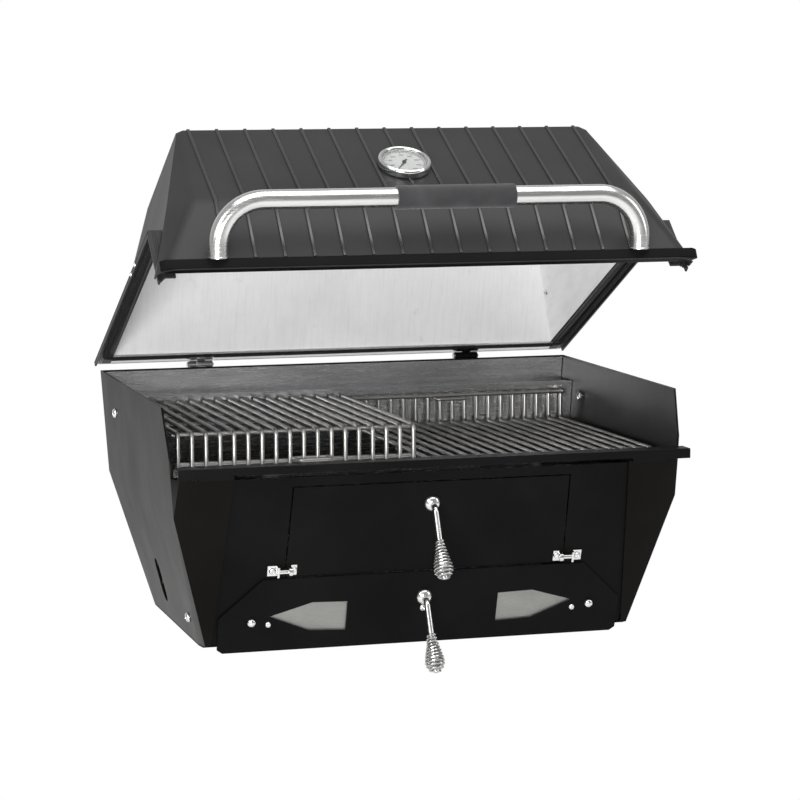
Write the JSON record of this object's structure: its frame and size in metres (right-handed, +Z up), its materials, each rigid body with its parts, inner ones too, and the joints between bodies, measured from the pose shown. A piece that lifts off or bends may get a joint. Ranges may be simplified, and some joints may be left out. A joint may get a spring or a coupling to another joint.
{
  "type": "charcoal charbroiler grill",
  "caption": "Tapered black steel charcoal grill head with a ribbed hinged lid, stepped rod grids, a drop-down charcoal door and an ash drawer with dampers.",
  "frame": {"origin": "centre of the underside of the base plate, on the mid plane between the side panels", "axes": "+X to the right seen from the front, -Y out of the front towards the cook, +Z up"},
  "size_m": [0.7189, 0.5602, 0.7029],
  "materials": {
    "body_black": "satin powder coat",
    "lid_black": "satin powder coat",
    "stainless": "satin",
    "bright_steel": "polished",
    "liner_steel": "satin",
    "dark_iron": "matte",
    "grip_foam": "matte",
    "rope_seal": "matte",
    "dial_white": "satin",
    "needle_black": "satin",
    "lens_glass": "gloss"
  },
  "bodies": {
    "firebox": {"left_side_panel": "body_black", "right_side_panel": "body_black", "front_panel": "body_black", "back_panel": "body_black", "bottom_pan": "body_black", "front_rail": "body_black", "back_liner": "stainless", "front_grid_ledge": "stainless", "back_high_ledge": "stainless", "back_low_ledge": "stainless", "grate_ledge_left": "dark_iron", "grate_ledge_right": "dark_iron", "side_bolt_left_upper": "stainless", "side_bolt_left_lower": "stainless", "side_bolt_right_upper": "stainless", "side_bolt_right_lower": "stainless", "door_bracket_left": "bright_steel", "door_bracket_right": "bright_steel", "hinge_base_left": "stainless", "hinge_base_right": "body_black", "hinge_pin_left": "stainless", "hinge_pin_right": "stainless"},
    "lid": {"lid_shell": "lid_black", "lid_liner": "liner_steel", "lid_seal": "rope_seal", "lid_back_trim": "bright_steel", "lid_hinge_leaf_left": "stainless", "lid_hinge_leaf_right": "body_black", "lid_handle_tube": "bright_steel", "lid_handle_grip": "grip_foam", "thermometer_case": "bright_steel", "thermometer_nut": "stainless", "thermometer_dial": "dial_white", "thermometer_lens": "lens_glass"},
    "thermometer_pointer": {"thermometer_needle": "needle_black"},
    "charcoal_door": {"charcoal_door": "body_black", "door_pivot_left": "bright_steel", "door_pivot_right": "bright_steel"},
    "door_handle": {"door_handle_boss": "bright_steel", "door_handle_rod": "bright_steel", "door_handle_spring": "bright_steel", "door_handle_cam": "stainless"},
    "ash_drawer": {"ash_drawer_front": "body_black", "ash_tray": "stainless", "ash_lock_screw": "bright_steel", "left_damper_pivot": "bright_steel", "right_damper_pivot": "bright_steel"},
    "ash_handle": {"ash_handle_boss": "bright_steel", "ash_handle_rod": "bright_steel", "ash_handle_spring": "bright_steel", "ash_handle_cam": "stainless"},
    "left_damper": {"left_damper": "stainless", "left_damper_knob": "bright_steel"},
    "right_damper": {"right_damper": "stainless", "right_damper_knob": "bright_steel"},
    "left_cooking_grid": {"left_cooking_grid": "stainless"},
    "right_cooking_grid": {"right_cooking_grid": "stainless"},
    "charcoal_grate": {"charcoal_grate": "dark_iron"}
  },
  "joints": [
    {"name": "lid_hinge", "type": "hinge", "parent": "firebox", "child": "lid", "pos_m": [0, 0.2551, 0.326], "axis": [-1, 0, 0], "range_deg": [-27, 45]},
    {"name": "thermometer_pointer", "type": "hinge", "parent": "lid", "child": "thermometer_pointer", "pos_m": [0, -0.10897, 0.61542], "axis": [0, 0.4655, -0.885], "range_deg": [0, 290]},
    {"name": "charcoal_door", "type": "hinge", "parent": "firebox", "child": "charcoal_door", "pos_m": [0, -0.2102, 0.1021], "axis": [1, 0, 0], "range_deg": [0, 70]},
    {"name": "door_latch", "type": "hinge", "parent": "charcoal_door", "child": "door_handle", "pos_m": [0, -0.23139, 0.186], "axis": [0, -0.9502, -0.3117], "range_deg": [0, 90]},
    {"name": "ash_drawer", "type": "slide", "parent": "firebox", "child": "ash_drawer", "axis": [0, -1, 0], "range_m": [0, 0.28]},
    {"name": "ash_latch", "type": "hinge", "parent": "ash_drawer", "child": "ash_handle", "pos_m": [0, -0.19198, 0.057], "axis": [0, 0.9502, 0.3117], "range_deg": [0, 90]},
    {"name": "left_damper", "type": "hinge", "parent": "ash_drawer", "child": "left_damper", "pos_m": [-0.2077, -0.18042, 0.0306], "axis": [0, -0.9502, -0.3117], "range_deg": [0, 12]},
    {"name": "right_damper", "type": "hinge", "parent": "ash_drawer", "child": "right_damper", "pos_m": [0.2077, -0.18042, 0.0306], "axis": [0, 0.9502, 0.3117], "range_deg": [0, 12]},
    {"name": "left_grid_lift", "type": "slide", "parent": "firebox", "child": "left_cooking_grid", "axis": [0, 0, 1], "range_m": [0, 0.03]},
    {"name": "right_grid_lift", "type": "slide", "parent": "firebox", "child": "right_cooking_grid", "axis": [0, 0, 1], "range_m": [0, 0.03]},
    {"name": "charcoal_grate_lift", "type": "slide", "parent": "firebox", "child": "charcoal_grate", "axis": [0, 0, 1], "range_m": [0, 0.05]}
  ],
  "couplings": [
    {"joint": "door_latch", "follows": "charcoal_door", "ratio": 1.25}
  ]
}
